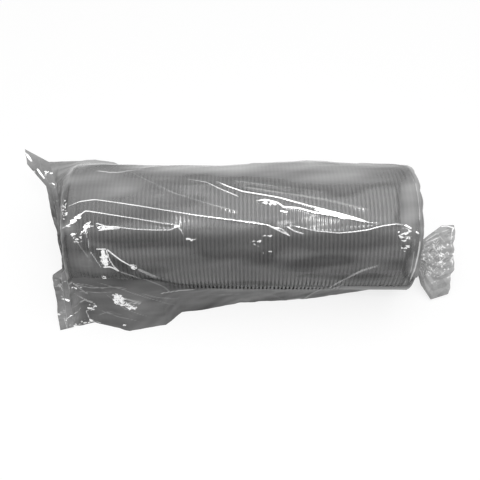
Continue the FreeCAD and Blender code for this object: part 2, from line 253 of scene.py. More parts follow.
# A material, and the one way in which nodes are put into it.
class Finish:
    def __init__(self, name, holder=None):
        self.material = holder or bpy.data.materials.new(name)
        self.material.use_nodes = True
        self.tree = self.material.node_tree
        self.tree.nodes.clear()

    def put(self, kind, values=None, out=0, **settings):
        node = self.tree.nodes.new("ShaderNode" + kind)
        for label, setting in settings.items():
            setattr(node, label, setting)
        for label, value in (values or {}).items():
            if isinstance(value, Shade):
                self.tree.links.new(value.socket, node.inputs[label])
            else:
                node.inputs[label].default_value = value
        return None if out is None else Shade(self, node.outputs[out])

    def mix(self, share, first, second):
        first, second = [one if isinstance(one, Shade) else grey(one) for one in (first, second)]
        return self.put("Mix", {0: share, 6: first, 7: second}, 2, data_type="RGBA")

    def attributes(self, *labels):
        return [self.put("Attribute", out="Fac", attribute_name=label) for label in labels]

    def place(self, stretch=None):
        where = self.put("TexCoord", out="Object")
        return self.put("Mapping", {"Vector": where, "Scale": stretch}) if stretch else where

    def noise(self, scale, detail, roughness, stretch=None):
        values = {"Vector": self.place(stretch), "Scale": scale, "Detail": detail, "Roughness": roughness}
        return self.put("TexNoise", values, "Fac")

    def bump(self, height, strength, distance):
        values = {"Height": height, "Strength": strength, "Distance": distance}
        return self.put("Bump", values)

    def limit(self, value):
        return self.put("Clamp", {"Value": value})

    # Small flat facets, each of its own level from 0 to 1.
    def facets(self, size, stretch=None):
        cell = self.put("TexVoronoi", {"Vector": self.place(stretch), "Scale": size}, "Color")
        return self.put("SeparateColor", {"Color": cell})

    # How white a film is: along its creases, as stress whitening and partly a painted highlight, and
    # on the share of its facets that are painted white as glinting highlights.
    def creaseWhitesAndPaintedGlints(self, crease, white, glint, size, stretch=None, streak=1.0):
        look = Values(sharpness=9.0, facetEdge=14.0, crackle=1.7, crackleFrom=0.36, crackleEdge=10.0,
                      crackleDetail=2.0, crackleRoughness=0.6)
        line = self.limit((crease - 0.5) * look.sharpness + 0.5) * white * streak
        crackle = self.noise(size * look.crackle, look.crackleDetail, look.crackleRoughness)
        crackle = self.limit((crackle - look.crackleFrom) * look.crackleEdge)
        paintedSpark = self.limit((self.facets(size, stretch) + glint - 1.0) * look.facetEdge) * crackle
        return self.limit(line + paintedSpark)

    # The greys of a film from its tone, and painted whiter along its creases and painted highlights.
    def filmGrey(self, look, tone, whiteAndPaintedGlint):
        return self.mix(whiteAndPaintedGlint, self.mix(self.limit(tone), look.shade, look.light), look.whiteness)

    def skin(self, base, roughness, **others):
        return self.put("BsdfPrincipled", {"Base Color": base, "Roughness": roughness, **others})

    def end(self, shader, kind="OutputMaterial"):
        self.put(kind, {"Surface": shader}, None)
        return self.material

    def seeThrough(self, cover, skin):
        clear = self.put("BsdfTransparent", {"Color": grey(1.0)})
        return self.end(self.put("MixShader", {0: cover, 1: clear, 2: skin}))


# The hose, packed: one turn of wire to each rib. The plies reach past it, under the bindings.
hose = Values(
    start=-133.8, pitch=3.3, turns=82, plyStart=-140.4, plyEnd=143.4, crestBroadness=0.55,
    seed=11,
)
hoseEnd = hose.start + hose.pitch * hose.turns


def ribHeight(x, turn):
    phase = (x - hose.start) / hose.pitch - turn / (2 * math.pi)
    return np.abs(np.cos(math.pi * phase)) ** hose.crestBroadness


def ringPoints(x, radius, turn, middle=axisPoint[1:]):
    y = middle[0] + radius * np.cos(turn)
    z = middle[1] + radius * np.sin(turn)
    return np.stack(np.broadcast_arrays(x, y, z), -1)


def turnsOf(columns):
    return np.arange(columns)[None, :] * (2 * math.pi / columns)


# Where the rings of a ply stand, and how far each is into the ribs.
def plyRows(rowsPerTurn, gaps=()):
    ribbed = np.linspace(hose.start, hoseEnd, hose.turns * rowsPerTurn + 1)
    before, after = [hose.start - gap for gap in gaps], [hoseEnd + gap for gap in gaps]
    x = np.concatenate([[hose.plyStart], before, ribbed, after, [hose.plyEnd]])[:, None]
    return x, windowOf(x, hose.start, hoseEnd, hose.pitch, hose.pitch)


# A ply's wall: the rings given, and a plain back to it.
def wallPoints(x, radius, turn, backRadius):
    back = [ringPoints(np.array([[end]]), backRadius, turn) for end in (hose.plyEnd, hose.plyStart)]
    points = np.concatenate([ringPoints(x, radius, turn), *back], 0)
    return points, gridQuads(*points.shape[:2], True, True)


def makeOuterPly():
    outer = Values(columns=120, rowsPerTurn=9, plainRadius=53.45, valleyRadius=52.45,
                   crestRadius=54.28, backRadius=52.2, endGap=0.4, wander=0.22, longWander=21.0,
                   shortWander=7.3, shortShare=0.6, unevenness=0.1, wanderAround=1.6,
                   shortAround=2.2, unevenAround=1.2, overCrest=0.08, lowFrom=0.1, lowOver=0.4)
    turn = turnsOf(outer.columns)
    x, free = plyRows(outer.rowsPerTurn, (outer.endGap,))
    wander = rippleOf(x / outer.longWander, 9 + outer.wanderAround * np.cos(turn), hose.seed)
    short = rippleOf(x / outer.shortWander, 40 + outer.shortAround * np.sin(turn), hose.seed + 1)
    rib = ribHeight(x + outer.wander * (wander + outer.shortShare * short), turn)
    radius = blendOf(outer.valleyRadius, outer.crestRadius, rib)
    around = 30 + outer.unevenAround * np.cos(turn + 1)
    uneven = rippleOf(x / hose.pitch, around, hose.seed + 2)
    radius = blendOf(outer.plainRadius, radius + outer.unevenness * uneven, free)
    radius = np.minimum(radius, outer.crestRadius + outer.overCrest)
    points, quads = wallPoints(x, radius, turn, outer.backRadius)
    share = np.pad(rib * free, ((0, 2), (0, 0)))
    # How far round to the underside each place is: there the ply's valleys are painted darker, as painted
    # shade.
    low = easeOf((outer.lowFrom - np.sin(turn)) / outer.lowOver) + 0 * share
    return newPiece("outerPly", points, quads, {"rib": share, "low": low})


def makeInnerPly():
    inner = Values(columns=96, rowsPerTurn=4, radius=51.42, ripple=0.2, backRadius=51.75)
    turn = turnsOf(inner.columns)
    x, free = plyRows(inner.rowsPerTurn)
    rib = ribHeight(x, turn) * free
    radius = inner.radius + inner.ripple * (rib - 0.5 * free)
    points, quads = wallPoints(x, radius, turn, inner.backRadius)
    return newPiece("innerPly", points, quads[:, ::-1], {"rib": np.pad(rib, ((0, 2), (0, 0)))})


def makeWire():
    wire = Values(radius=52.48, thickness=0.5, sides=8, stepsPerTurn=36)
    sides = wire.sides
    steps = hose.turns * wire.stepsPerTurn + 1
    turn = np.linspace(0, 2 * math.pi * hose.turns, steps)[:, None]
    side = turnsOf(sides)
    x = hose.start + hose.pitch * turn / (2 * math.pi) + wire.thickness * np.sin(side)
    points = ringPoints(x, wire.radius + wire.thickness * np.cos(side), turn)
    ends = np.stack([points[0].mean(0), points[-1].mean(0)])
    quads = gridQuads(steps, sides, False, True)
    count = steps * sides
    caps = []
    for start, middle in ((0, count), (count - sides, count + 1)):
        for n in range(0, sides, 2):
            ring = [start + n, start + (n + 1) % sides, start + (n + 2) % sides]
            caps.append([middle, *ring] if start else [middle, *ring[::-1]])
    allPoints = np.concatenate([points.reshape(-1, 3), ends])
    return newPiece("wireHelix", allPoints, np.concatenate([quads[:, ::-1], np.array(caps)]))


outerPly = makeOuterPly()
innerPly = makeInnerPly()
wireHelix = makeWire()

# The bag: one tube of film, welded across at the left and gathered at the right. Its section is
# tight over the hose, flat on the floor, and drawn out to a fold in front and behind.
bag = Values(
    radius=54.72, start=-141.35, end=144.35, sleeveRows=320, capRows=44, shoulderRows=30,
    upperColumns=310, lowerColumns=84,
    columnSpread=[(0, 0.7), (0.22, 0.9), (0.26, 1.7), (0.72, 1.7), (0.78, 0.9), (1, 0.7)],
    underOff=0.15, shoulderOff=0.55, least=54.46, floor=0.15, leastFacing=0.02, seed=23,
)
# Where the bottom outline of the film shows in the photograph: the front fold, on the floor.
skirtPixels = [(60.5, 330.3), (94.9, 322.1), (130.1, 331.0), (166.0, 324.7), (182.1, 312.2),
               (240.0, 303.0), (300.0, 299.0), (350.0, 292.5)]
skirtAtMouth = (144.35, 24.0)
# How far from the axis the fold behind is, and at which angle, along the hose.
backReach = [(-141.35, 84.0), (144.35, 61.0)]
backAngle = [(-141.35, 2.2), (-124.0, 0.2), (-110.0, -5.5), (-92.0, -16.0), (-60.0, -30.0), (-27.0, -42.0),
             (144.35, -42.0)]
# How far the film stands off the top of the hose, seen against the white behind it.
topLift = [(-141.0, 1.0), (-120.0, 2.0), (-85.0, 0.0), (-20.0, 0.1), (30.0, 3.2), (58.0, 4.6), (110.0, 1.8),
           (144.35, 0.8)]
# The flat end: the two films meet along a line that leans up to the back, and are welded from there
# to the cut edge. The edge is given by its share along the line and its pixel.
seal = Values(
    front=np.array([0.0, -75.2, 1.2]), back=np.array([0.0, 62.0, 71.3]),
    places=[(0.0, -148.4), (0.55, -163.0), (0.82, -171.5), (0.93, -176.5), (1.0, -181.0)],
    rowSpread=0.8, round=4.5, roundReach=40.0, rimTightness=0.06, clearRim=7.0,
)
weldEdge = [(0.0, (60.5, 330.3)), (0.15, (56.5, 303.0)), (0.305, (52.8, 275.0)), (0.335, (62.6, 268.6)),
            (0.56, (57.0, 232.0)), (0.61, (54.0, 224.0)), (0.8, (46.5, 186.6)), (0.93, (27.4, 164.5)),
            (1.0, (24.8, 149.0))]
skirtFloor = np.array([castPixel(x, y, bag.floor) for x, y in skirtPixels])
skirtReach = [(point[0], axisPoint[1] - point[1]) for point in skirtFloor] + [skirtAtMouth]


def spreadColumns(count, rows):
    share = np.linspace(0, 1, 2001)
    total = np.concatenate([[0], np.cumsum(tableAt((share[1:] + share[:-1]) / 2, rows))])
    return np.interp(np.linspace(0, 1, count + 1), total / total[-1], share)


# Points round the section at each X, and how far each is off the hose, from 0 to 1. The upper film
# runs from the front fold over the top, and the lower one from the back fold under.
def sectionPoints(x):
    radius = bag.radius
    x = x[:, None]
    front, back = tableAt(x, skirtReach), tableAt(x, backReach)
    angle = np.radians(tableAt(x, backAngle))
    spread = np.arccos(radius / back)
    touch = 1.5 * math.pi - 2 * np.arctan(front / radius)
    high, low = angle + spread, angle - spread
    backRun = np.sqrt(back ** 2 - radius ** 2)
    tip = (back * np.cos(angle), back * np.sin(angle))
    foot = (-front, -radius + 0 * front)

    def onHose(turn):
        return radius * np.cos(turn), radius * np.sin(turn)

    def lineOf(start, end, share):
        share = np.clip(share, 0, 1)
        return blendOf(start[0], end[0], share), blendOf(start[1], end[1], share)

    # Y, Z and how far off, on three parts of which the first two have these lengths.
    def joined(along, first, second, parts):
        return [np.where(along < first, a, np.where(along < first + second, b, c)) for a, b, c in zip(*parts)]

    over = radius * (touch - high)
    along = upperShare[None, :] * (front + over + backRun)
    share, lastShare = along / front, (along - front - over) / backRun
    upper = joined(along, front, over, (
        (*lineOf(foot, onHose(touch), share), 1 - share),
        (*onHose(touch - np.clip(along - front, 0, over) / radius), 0),
        (*lineOf(onHose(high), tip, lastShare), lastShare)))
    under = radius * (low + math.pi / 2)
    below = lowerShare[None, :] * (backRun + under + front)
    share, lastShare = below / backRun, (below - backRun - under) / front
    lower = joined(below, backRun, under, (
        (*lineOf(tip, onHose(low), share), 1 - share),
        (*onHose(low - np.clip(below - backRun, 0, under) / radius), 0),
        (*lineOf(onHose(-math.pi / 2 + 0 * front), foot, lastShare), bag.underOff)))
    y, z, off = [np.concatenate(pair, 1) for pair in zip(upper, lower)]
    return np.stack([x + 0 * y, y + axisPoint[1], z + axisPoint[2]], -1), off


# Points on the line where the films meet, by their share along it.
def sealAt(share):
    points = seal.front + (seal.back - seal.front) * share[..., None]
    points[..., 0] = tableAt(share, seal.places)
    return points


# A sheet drawn from one edge to another, leaving and reaching them along the directions given.
def drawnSheet(first, leaving, last, reaching, steps):
    t = steps[:, None, None]
    return ((2 * t ** 3 - 3 * t ** 2 + 1) * first + (t ** 3 - 2 * t ** 2 + t) * leaving
            + (3 * t ** 2 - 2 * t ** 3) * last + (t ** 3 - t ** 2) * reaching)


upperShare = spreadColumns(bag.upperColumns, bag.columnSpread)
lowerShare = spreadColumns(bag.lowerColumns, [(0, 1), (1, 1)])[1:-1]
columns = len(upperShare) + len(lowerShare)
sleevePoints, sleeveOff = sectionPoints(np.linspace(bag.start, bag.end, bag.sleeveRows + 1))
sealSlope = unitOf(seal.back - seal.front)
alongSeal = (sleevePoints[0] - seal.front) @ sealSlope
linePoints = sealAt(np.clip(alongSeal / alongSeal[len(upperShare) - 1], 0, 1))
capSteps = (1 - np.linspace(0, 1, bag.capRows + 1)[:-1] ** seal.rowSpread)[:, None, None]
capPoints = sleevePoints[0] + (linePoints - sleevePoints[0]) * capSteps
bulge = (1 - capSteps) * (1 - np.exp(-capSteps / seal.rimTightness))
bulge = bulge[..., 0] * easeOf(lengthOf(linePoints - sleevePoints[0]) / seal.roundReach)
capPoints[..., 0] -= seal.round * bulge

# The mouth: radial pleats from the hose's rim to the neck, which leave both along the hose.
mouth = Values(
    neckX=152.6, neckMiddle=(-16.0, 29.95), neckRadius=8.3, pleats=17, pleatWander=1.4,
    wanderWaves=1.3, pleatTwist=1.5, pleatDepth=0.7, gather=0.9, leaving=9.0, leavingShare=0.16, seed=31,
)
rimTurn = turnOf(sleevePoints[-1])
pleatTurn = rippleOf(rimTurn * mouth.wanderWaves + 7, 0 * rimTurn, mouth.seed)
pleatTurn = mouth.pleats * rimTurn + mouth.pleatWander * pleatTurn
neckRadius = mouth.neckRadius + mouth.pleatDepth * np.cos(pleatTurn)
neckPoints = ringPoints(mouth.neckX, neckRadius, rimTurn, mouth.neckMiddle)
rimSpan = lengthOf(neckPoints - sleevePoints[-1])[:, None]
steps = np.linspace(0, 1, bag.shoulderRows + 1)[1:]
leaving = viewRight * (mouth.leaving + mouth.leavingShare * rimSpan)
shoulderPoints = drawnSheet(sleevePoints[-1], leaving, neckPoints, viewRight * mouth.leaving, steps)
gather = (steps * (1 - steps) * 4)[:, None] * np.cos(pleatTurn + mouth.pleatTwist * steps[:, None])
shoulderPoints[..., 0] += mouth.gather * gather

filmPoints = np.concatenate([capPoints, sleevePoints, shoulderPoints], 0)
filmOff = np.concatenate([
    np.maximum(sleeveOff[0], easeOf(lengthOf(capPoints - sleevePoints[0]) / seal.clearRim)),
    sleeveOff,
    np.full((len(shoulderPoints), columns), bag.shoulderOff),
], 0)
sleeveFirst = len(capPoints)
sleeveLast = sleeveFirst + bag.sleeveRows
closed = np.concatenate([filmPoints[:, -1:], filmPoints, filmPoints[:, :1]], 1)
filmNormals = unitOf(np.cross(np.gradient(filmPoints, axis=0), closed[:, 2:] - closed[:, :-2]))
upperOnly = np.zeros((len(filmPoints), columns), bool)
upperOnly[:, 1:len(upperShare) - 1] = True
facing = np.sum(filmNormals * unitOf(eyePoint - filmPoints), -1)
seen = upperOnly & (facing > bag.leastFacing)
seenPoints, seenNormals = filmPoints[seen], filmNormals[seen]
seenPixels = pixelOf(seenPoints)
print("film laid out:", filmPoints.shape[0], "by", filmPoints.shape[1])

# Lines are followed in steps of so many pixels, and no further in millimetres from a seen point.
trace = Values(step=3.0, graze=0.05, stray=2.5)


# The places on the film that show at a run of pixels, close together.
def onFilm(pixels):
    length = np.concatenate([[0], np.cumsum(lengthOf(np.diff(pixels, axis=0)))])
    count = max(2, int(length[-1] / trace.step) + 1)
    found = []
    for pixel in routeAt(np.linspace(0, length[-1], count), length, pixels):
        n = np.argmin(np.sum((seenPixels - pixel) ** 2, 1))
        ray = rayOf(pixel)
        along = ((seenPoints[n] - eyePoint) @ seenNormals[n]) / min(ray @ seenNormals[n], -trace.graze)
        place = eyePoint + ray * along
        found.append(place if lengthOf(place - seenPoints[n]) < trace.stray else seenPoints[n])
    return np.array(found)


# Creases in the film: half the width of its white line in millimetres, how far it stands up, how
# white it is at its start, middle and end (stress whitening, and partly a painted highlight), and the
# pixels by which it runs in the photograph.
creases = {
    "longUpper": (0.42, 0.9, 0.7, 1, 0.9, 67, 207, 80, 202, 95, 200, 138, 206, 194, 215, 240, 221, 268,
        225, 289, 235),
    "loopOver": (0.4, 0.8, 0.9, 1, 0.8, 59, 231, 72, 223, 79, 216, 86, 211, 112, 215, 138, 219, 161, 223,
        178, 225),
    "loopUnder": (0.42, 0.7, 0.9, 0.8, 0.8, 95, 223, 99, 229, 116, 227, 133, 229, 152, 230, 170, 230, 179,
        226),
    "loopWedgeA": (0.5, 0.4, 1, 0.9, 0.7, 96, 223, 106, 226.5, 120, 227),
    "loopWedgeB": (0.6, 0.4, 1, 0.9, 0.6, 98, 230.5, 108, 229, 120, 228.5),
    "loopTail": (0.6, 0.3, 0.8, 0.6, 0.1, 177, 226, 181, 230, 184, 236),
    "loopTip": (0.9, 0.4, 0.7, 1, 0.9, 174, 226.5, 180, 226),
    "cornerLong": (0.34, 0.7, 0.4, 0.9, 1, 88, 238, 89, 249, 95, 258, 102, 268),
    "patchLeft": (1.9, 0.8, 0.9, 0.75, 1, 102.5, 250, 104.5, 258, 107, 265.5),
    "patchRight": (0.55, 0.8, 1, 0.9, 0.9, 106, 249, 110, 260, 114, 266, 120, 271.5),
    "patchTop": (0.6, 0.4, 0.8, 1, 1, 96, 249, 106, 249),
    "patchFoot": (0.8, 0.4, 1, 1, 0.6, 103, 267, 111, 266.5, 119, 271),
    "knotA": (0.5, 0.4, 0.8, 1, 0.8, 80, 235, 86, 228, 91, 221),
    "knotB": (0.45, 0.4, 0.8, 1, 0.8, 83, 226, 86, 232, 87, 238),
    "knotC": (0.4, 0.3, 1, 0.8, 0.7, 87, 222, 92, 227, 94, 226),
    "knotD": (0.5, 0.3, 0.9, 1, 0.9, 83, 232, 89, 226),
    "cornerBranch": (0.7, 0.7, 0.9, 1, 1, 107, 249, 113, 254, 121, 260, 130, 265, 137, 268),
    "cornerSquareA": (0.4, 0.3, 1, 1, 1, 130.5, 264, 137, 265.5),
    "cornerSquareB": (0.4, 0.3, 1, 1, 1, 131, 268, 136, 270),
    "cornerFade": (1.6, 0.6, 0.4, 0.28, 0.2, 138, 269, 149, 274, 161, 279),
    "cornerLow": (0.8, 0.7, 0.35, 0.2, 0.15, 119, 271, 140, 278, 165, 289, 172, 295),
    "faintUpper": (0.45, 0.7, 0.22, 0.3, 0.25, 127, 171, 150, 182, 173, 193, 205, 203, 240, 212),
    "upperLeft": (0.42, 0.8, 0.3, 0.9, 1, 185, 179, 196, 181, 207, 183, 222, 190, 239, 197),
    "upperMiddle": (0.6, 1, 0.9, 1, 1, 214, 181, 228, 187, 243, 192, 262, 195, 279, 198, 309, 206, 337,
        213, 366, 221),
    "upperUnder": (0.75, 0.8, 0.9, 0.85, 1, 256, 201, 266, 200, 278, 203, 283, 207, 298, 208, 313, 212,
        337, 216, 364, 221),
    "upperMerge": (1.25, 0.6, 0.7, 1, 0.9, 318, 210, 334, 214, 350, 218, 364, 221),
    "upperTip": (0.5, 0.5, 0.9, 0.4, 0.15, 362, 221, 372, 223, 380, 223),
    "upperBlob": (0.7, 0.4, 0.9, 0.8, 0.8, 280, 211, 288, 212),
    "middleLoopA": (0.4, 0.6, 0.9, 1, 0.7, 268, 226, 277, 230, 290, 236, 282, 229, 274, 227),
    "middleLoopB": (0.5, 0.6, 0.8, 1, 0.7, 286, 226, 294, 231, 304, 234),
    "middleRun": (0.42, 0.5, 0.6, 0.9, 1, 240, 221, 254, 222, 266, 225),
    "longLower": (0.42, 0.9, 0.7, 1, 1, 290, 225, 298, 227, 316, 231, 339, 233, 352, 232, 367, 230, 382,
        226, 396, 224, 405, 225),
    "mouthRun": (0.75, 0.7, 1, 0.7, 0.9, 405, 225, 412, 229, 419, 234),
    "frontFaint": (1.1, 0.9, 0.3, 0.3, 0.22, 326, 289, 336, 283, 346, 278, 362, 270, 379, 265),
    "frontLower": (0.9, 0.8, 0.25, 0.25, 0.2, 288, 302, 302, 299, 325, 291, 345, 283),
    "skirtEdgeGlow": (0.8, 0.5, 0.5, 0.4, 0.3, 160, 296, 178, 293, 196, 291),
    "skirtStreak": (0.6, 0.6, 0.6, 0.5, 0.3, 116, 301, 128, 305, 141, 306),
    "flapLine": (0.34, 0.6, 0.6, 0.9, 0.7, 66, 320, 74, 314, 81, 309),
    "flapRoot": (0.6, 0.6, 0.4, 0.4, 0.3, 56, 285, 66, 281, 78, 289, 88, 297),
    "flapFan": (0.5, 0.5, 0.3, 0.3, 0.2, 66, 284, 84, 286, 104, 291),
    "flapSlant": (0.4, 0.5, 0.3, 0.3, 0.25, 62, 289, 76, 297, 92, 304),
    "flapRise": (0.4, 0.5, 0.2, 0.3, 0.2, 60, 316, 72, 308, 84, 303),
    "flapFoot": (0.5, 0.5, 0.5, 0.6, 0.3, 86, 312, 90, 320, 94, 322),
    "flapTriangle": (0.45, 0.5, 0.4, 0.7, 0.8, 78, 298.5, 87, 303, 96, 307.5, 87, 312),
    "flapTop": (0.4, 0.4, 0.4, 0.6, 0.5, 79, 303, 88, 303, 93, 305),
    "flapHem": (0.5, 0.4, 0.6, 0.9, 0.6, 75, 326, 82, 323, 96, 321, 102, 323),
    "flapBandA": (0.7, 0.4, 0.3, 0.2, 0.12, 72, 286, 92, 290, 118, 289, 128, 291),
    "flapBandB": (0.6, 0.4, 0.2, 0.22, 0.1, 78, 294, 100, 295, 112, 294),
    "skirtLongA": (0.6, 0.4, 0.15, 0.22, 0.1, 96, 284, 120, 291, 150, 301, 180, 307),
    "skirtLongB": (0.6, 0.4, 0.12, 0.16, 0.08, 104, 296, 124, 311, 150, 318),
    "skirtLongC": (0.6, 0.4, 0.1, 0.16, 0.08, 188, 300, 216, 297, 250, 297),
    "skirtLongD": (0.5, 0.4, 0.12, 0.2, 0.1, 268, 296, 285, 300, 300, 299),
    "skirtLongE": (1, 0.4, 0.3, 0.3, 0.1, 122, 300, 133, 303, 142, 305),
    "skirtLongF": (0.8, 0.4, 0.08, 0.16, 0.06, 142, 296, 158, 300, 182, 300),
    "skirtLongG": (0.7, 0.4, 0.1, 0.14, 0.06, 100, 312, 118, 318, 140, 322),
    "flapLow": (0.6, 0.4, 0.12, 0.2, 0.1, 98, 316, 108, 313, 122, 316),
    "capDown": (1, 0.6, 0.06, 0.03, 0, 90, 240, 89, 262, 92, 282),
    "capFaint": (0.6, 0.5, 0.3, 0.2, 0.1, 72, 232, 80, 246, 92, 262),
    "upperShine": (1, 0.8, 0.12, 0.12, 0.1, 243, 187, 280, 193, 325, 200, 370, 210),
    "topFaint": (0.5, 0.5, 0.3, 0.2, 0.12, 232, 181, 262, 185, 300, 190, 330, 193),
    "rimSweepA": (0.4, 0.4, 0.3, 0.25, 0.3, 409, 172, 416, 186, 419, 205, 420, 222),
    "rimSweepB": (0.7, 0.4, 0.35, 0.6, 0.6, 409, 282, 415, 268, 419, 250, 420, 240),
    "rimSweepC": (0.4, 0.3, 0.2, 0.3, 0.25, 404, 284, 411, 270, 414, 252, 415, 236),
}
# Crumpled patches, where facets of the film are painted white as glinting highlights: middle, half
# width, half height, slope in degrees and the share of facets that are painted white.
paintedGlints = {
    "loopStart": (73, 221, 12, 3.5, -35, 0.55),
    "loopKnot": (86, 229, 4.5, 8, 30, 0.6),
    "loopWedge": (106, 228, 9, 2.2, 2, 0.85),
    "capSpots": (77, 238, 9, 5, 20, 0.28),
    "capDots": (65, 212, 3, 13, -8, 0.42),
    "patchCore": (105, 259, 4.5, 9.5, -14, 0.7),
    "squareCore": (134, 267, 3.5, 2.6, 15, 0.6),
    "skirtBright": (118, 302, 9, 5.5, 30, 1),
    "skirtEnd": (130, 309, 8, 2.5, 12, 0.8),
    "skirtSpot": (104, 278, 3.5, 1.5, 20, 0.9),
    "flapKnot": (92, 308, 6, 3.5, -35, 0.5),
    "flapEdge": (84, 322.5, 12, 1.8, -14, 0.6),
    "flapPatch": (65, 299, 5, 1.8, 8, 0.85),
    "flapTop": (75, 289, 10, 2.5, 20, 0.35),
    "skirtDot": (124, 325, 3, 1, -20, 0.8),
    "flapCorner": (62, 322, 2, 5, 0, 0.5),
    "middleKnot": (262, 240, 14, 6, -20, 0.3),
    "middleDots": (270, 203, 12, 3, 8, 0.5),
    "mergeCore": (332, 214, 24, 2.6, 13, 0.6),
    "mouthSpark": (405, 235, 8, 8, 40, 0.42),
    "mouthFoot": (406, 246, 5, 7, 20, 0.35),
    "tailBlob": (191, 239, 7, 2.4, -5, 0.35),
    "earInner": (56, 184, 5, 2.5, -40, 0.4),
    "earStreak": (66, 200, 2.5, 8, 10, 0.25),
    "lowerSmudge": (269, 252, 14, 2, 5, 0.2),
}
film = {label: np.zeros(filmPoints.shape[:2]) for label in ("rise", "crease", "white", "glint")}
# The reach over which nearness to a crease is kept, how far its rise spreads, how it ends, and how
# a crumpled patch fades out.
press = Values(reach=4.0, spread=2.4, widthShare=0.85, patchFrom=2.2, patchEdge=2,
               ends=[(0, 0.2), (0.06, 1), (0.94, 1), (1, 0.2)])


# Presses one crease into a film: how far it stands up, how near each place is to its line (a half
# at the line's edge) and how white the line is: stress whitening, and partly a painted highlight.
def pressCrease(points, film, route, width, rise, white, spread=press.spread):
    last = len(route) - 1
    low, high = route.min(0) - 3 * spread, route.max(0) + 3 * spread
    near = np.all((points > low) & (points < high), -1)
    spots = points[near]
    closest = np.full(len(spots), 1e9)
    level = np.zeros(len(spots))
    for n in range(last):
        step = route[n + 1] - route[n]
        share = np.clip((spots - route[n]) @ step / max(step @ step, 1e-9), 0, 1)
        away = lengthOf(spots - route[n] - share[:, None] * step)
        closer = away < closest
        closest = np.where(closer, away, closest)
        level = np.where(closer, (n + share) / last, level)
    taper = tableAt(level, press.ends)
    edge = np.clip(0.5 + (width * taper - closest) / press.reach, 0, 1)
    nearest = edge > film["crease"][near]
    film["white"][near] = np.where(nearest, np.interp(level, (0, 0.5, 1), white), film["white"][near])
    film["crease"][near] = np.where(nearest, edge, film["crease"][near])
    if "rise" in film:
        film["rise"][near] = np.maximum(film["rise"][near], rise * taper * np.exp(-closest / spread))


for width, rise, *rest in creases.values():
    pressCrease(filmPoints, film, onFilm(pairsOf(rest[3:])), width * press.widthShare, rise, rest[:3])
filmPixels = pixelOf(filmPoints)
pixelX, pixelY = filmPixels[..., 0], filmPixels[..., 1]
for x, y, halfWide, halfHigh, slope, share in paintedGlints.values():
    lean = math.radians(slope)
    along = ((pixelX - x) * math.cos(lean) + (pixelY - y) * math.sin(lean)) / halfWide
    aside = ((pixelY - y) * math.cos(lean) - (pixelX - x) * math.sin(lean)) / halfHigh
    share = share * easeOf(press.patchFrom - press.patchEdge * np.hypot(along, aside))
    film["glint"] = np.maximum(film["glint"], share * (facing > 0))
# What lies under and behind is hidden from the camera, and takes none of these.
for layer in film.values():
    layer[:, len(upperShare):] = 0
# Behind and below, where the photograph doesn't reach, the film has long creases of the same kind.
hiddenCreases = Values(count=18, columns=(216, 300), rows=(40, 130), width=(0.4, 0.7), rise=0.7,
                       stray=9.0, wave=2.5, waveReach=7, steps=24, firstColumn=190,
                       columnsLeft=6, rowsBefore=20, rowsLeft=40, seed=29)
draw = np.random.default_rng(hiddenCreases.seed)
steps = hiddenCreases.steps
for n in range(hiddenCreases.count):
    row = draw.integers(sleeveFirst - hiddenCreases.rowsBefore, sleeveLast - hiddenCreases.rowsLeft)
    last = min(row + draw.integers(*hiddenCreases.rows), sleeveLast - 2)
    column = draw.integers(*hiddenCreases.columns)
    stray = draw.normal(0, hiddenCreases.stray)
    wave = np.sin(np.linspace(0, hiddenCreases.waveReach, steps) + stray)
    walk = column + stray * np.linspace(0, 1, steps) + hiddenCreases.wave * wave
    walk = np.clip(walk, hiddenCreases.firstColumn, len(upperShare) - hiddenCreases.columnsLeft)
    walk = walk.astype(int)
    route = filmPoints[np.linspace(row, last, steps).astype(int), walk]
    width = draw.uniform(*hiddenCreases.width)
    white = (draw.uniform(0, 0.5), draw.uniform(0.3, 0.9), draw.uniform(0, 0.6))
    pressCrease(filmPoints, film, route, width, hiddenCreases.rise, white)
print("creases pressed:", len(creases), "seen and", hiddenCreases.count, "behind")

# Wrinkles along the bag. A pattern has its length along and across in millimetres, where its noise
# starts and what its seed adds.
drape = Values(
    slant=0.13, long=(55, 11, 9, 40, 1), short=(24, 5.5, 3, 20, 2), crumple=(6, 6, 50, 50, 3),
    haze=(30, 9, 3, 5, 5), streaks=(16, 3, 3, 5, 6), shortShare=0.5, sharpness=1.4,
    tightDepth=0.385, looseDepth=1.12, liftTurn=42.0, liftSpread=0.6, sag=3.2,
    crumpleFrom=0.3, crumpleDepth=0.5, sealRows=6.0, neckRows=10.0, sleeveEnds=0.3,
)
filmTurn = turnOf(filmPoints)
filmTurn[:sleeveFirst] = filmTurn[sleeveFirst]
filmTurn[sleeveLast + 1:] = filmTurn[sleeveLast]
aroundFilm = filmTurn * bag.radius
alongFilm = np.cumsum(lengthOf(np.diff(filmPoints, axis=0, prepend=filmPoints[:1])), axis=0)
slantFilm = aroundFilm + drape.slant * alongFilm


def patternOf(name, across):
    long, wide, first, second, seed = drape[name]
    return rippleOf(alongFilm / long + first, across / wide + second, bag.seed + seed)


